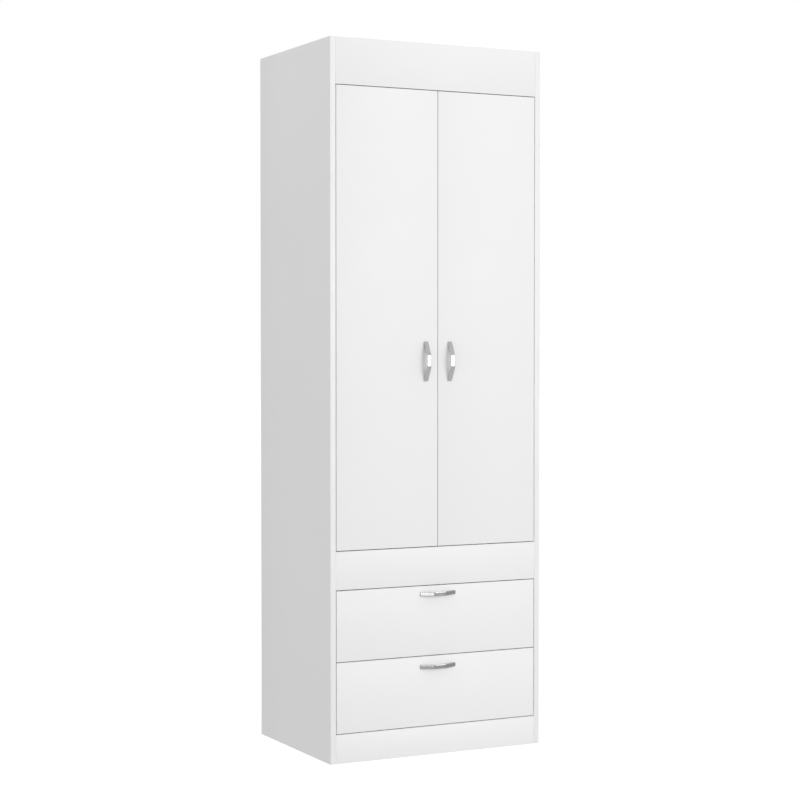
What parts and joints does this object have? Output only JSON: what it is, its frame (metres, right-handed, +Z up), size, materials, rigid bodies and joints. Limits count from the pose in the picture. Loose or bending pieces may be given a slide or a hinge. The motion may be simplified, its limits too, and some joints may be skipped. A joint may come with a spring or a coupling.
{
  "type": "wardrobe",
  "caption": "White board wardrobe: hinged doors with bow handles over drawers, hanging rod and hat shelf inside, stands on its panel ends and plinth.",
  "frame": {"origin": "on the floor, under the middle of the wardrobe's overall box, handles included", "axes": "+Z up, the fronts look along -Y, +X to the right as seen from the front"},
  "size_m": [0.6, 0.464, 1.8],
  "materials": {
    "white_carcass": "white melamine-coated particle board with white edge band, satin, fine pearl texture",
    "white_front": "white melamine-coated particle board with white edge band, satin, fine pearl texture",
    "white_drawer_board": "white foil-wrapped drawer board, satin",
    "hardboard": "raw hardboard, lacquered white on the face that looks into the wardrobe or drawer",
    "handle_metal": "satin nickel-plated casting",
    "hinge_steel": "nickel-plated pressed steel",
    "runner_steel": "bright zinc-plated rolled steel",
    "cage_plastic": "natural acetal plastic, matt",
    "catch_plastic": "white moulded plastic, fine texture",
    "strip_plastic": "white extruded plastic, satin",
    "rod_chrome": "chrome-plated steel"
  },
  "bodies": {
    "carcass": {"left_side_panel": "white_carcass", "right_side_panel": "white_carcass", "top_panel": "white_carcass", "hat_shelf": "white_carcass", "divider_panel": "white_carcass", "bottom_panel": "white_carcass", "fascia_board": "white_carcass", "mid_rail": "white_carcass", "plinth_board": "white_carcass", "rear_plinth": "white_carcass", "upper_back_panel": "hardboard", "lower_back_panel": "hardboard", "back_joint_strip": "strip_plastic", "hanging_rod": "rod_chrome", "left_rod_socket": "rod_chrome", "right_rod_socket": "rod_chrome", "door_catch": "catch_plastic", "left_upper_hinge_arm": "hinge_steel", "left_middle_hinge_arm": "hinge_steel", "left_lower_hinge_arm": "hinge_steel", "right_upper_hinge_arm": "hinge_steel", "right_middle_hinge_arm": "hinge_steel", "right_lower_hinge_arm": "hinge_steel", "upper_left_cabinet_runner": "runner_steel", "upper_right_cabinet_runner": "runner_steel", "lower_left_cabinet_runner": "runner_steel", "lower_right_cabinet_runner": "runner_steel"},
    "left_door": {"left_door_panel": "white_front", "left_door_handle": "handle_metal", "left_strike_plate": "runner_steel", "left_upper_hinge_cup": "hinge_steel", "left_middle_hinge_cup": "hinge_steel", "left_lower_hinge_cup": "hinge_steel"},
    "right_door": {"right_door_panel": "white_front", "right_door_handle": "handle_metal", "right_strike_plate": "runner_steel", "right_upper_hinge_cup": "hinge_steel", "right_middle_hinge_cup": "hinge_steel", "right_lower_hinge_cup": "hinge_steel"},
    "upper_drawer": {"upper_drawer_front": "white_front", "upper_drawer_left_side": "white_drawer_board", "upper_drawer_right_side": "white_drawer_board", "upper_drawer_back": "white_drawer_board", "upper_drawer_floor": "hardboard", "upper_drawer_handle": "handle_metal", "upper_left_drawer_runner": "runner_steel", "upper_right_drawer_runner": "runner_steel"},
    "lower_drawer": {"lower_drawer_front": "white_front", "lower_drawer_left_side": "white_drawer_board", "lower_drawer_right_side": "white_drawer_board", "lower_drawer_back": "white_drawer_board", "lower_drawer_floor": "hardboard", "lower_drawer_handle": "handle_metal", "lower_left_drawer_runner": "runner_steel", "lower_right_drawer_runner": "runner_steel"},
    "upper_left_cage": {"upper_left_ball_cage": "cage_plastic"},
    "upper_right_cage": {"upper_right_ball_cage": "cage_plastic"},
    "lower_left_cage": {"lower_left_ball_cage": "cage_plastic"},
    "lower_right_cage": {"lower_right_ball_cage": "cage_plastic"}
  },
  "joints": [
    {"name": "left_door_hinge", "type": "hinge", "parent": "carcass", "child": "left_door", "pos_m": [-0.271, -0.206, 1.1065], "axis": [0, 0, -1], "range_deg": [0, 95]},
    {"name": "right_door_hinge", "type": "hinge", "parent": "carcass", "child": "right_door", "pos_m": [0.271, -0.206, 1.1065], "axis": [0, 0, 1], "range_deg": [0, 95]},
    {"name": "upper_drawer_slide", "type": "slide", "parent": "carcass", "child": "upper_drawer", "axis": [0, -1, 0], "range_m": [0, 0.26]},
    {"name": "lower_drawer_slide", "type": "slide", "parent": "carcass", "child": "lower_drawer", "axis": [0, -1, 0], "range_m": [0, 0.26]},
    {"name": "upper_left_cage_slide", "type": "slide", "parent": "carcass", "child": "upper_left_cage", "axis": [0, -1, 0], "range_m": [0, 0.13]},
    {"name": "upper_right_cage_slide", "type": "slide", "parent": "carcass", "child": "upper_right_cage", "axis": [0, -1, 0], "range_m": [0, 0.13]},
    {"name": "lower_left_cage_slide", "type": "slide", "parent": "carcass", "child": "lower_left_cage", "axis": [0, -1, 0], "range_m": [0, 0.13]},
    {"name": "lower_right_cage_slide", "type": "slide", "parent": "carcass", "child": "lower_right_cage", "axis": [0, -1, 0], "range_m": [0, 0.13]}
  ],
  "couplings": [
    {"joint": "upper_left_cage_slide", "follows": "upper_drawer_slide", "ratio": 0.5},
    {"joint": "upper_right_cage_slide", "follows": "upper_drawer_slide", "ratio": 0.5},
    {"joint": "lower_left_cage_slide", "follows": "lower_drawer_slide", "ratio": 0.5},
    {"joint": "lower_right_cage_slide", "follows": "lower_drawer_slide", "ratio": 0.5}
  ]
}
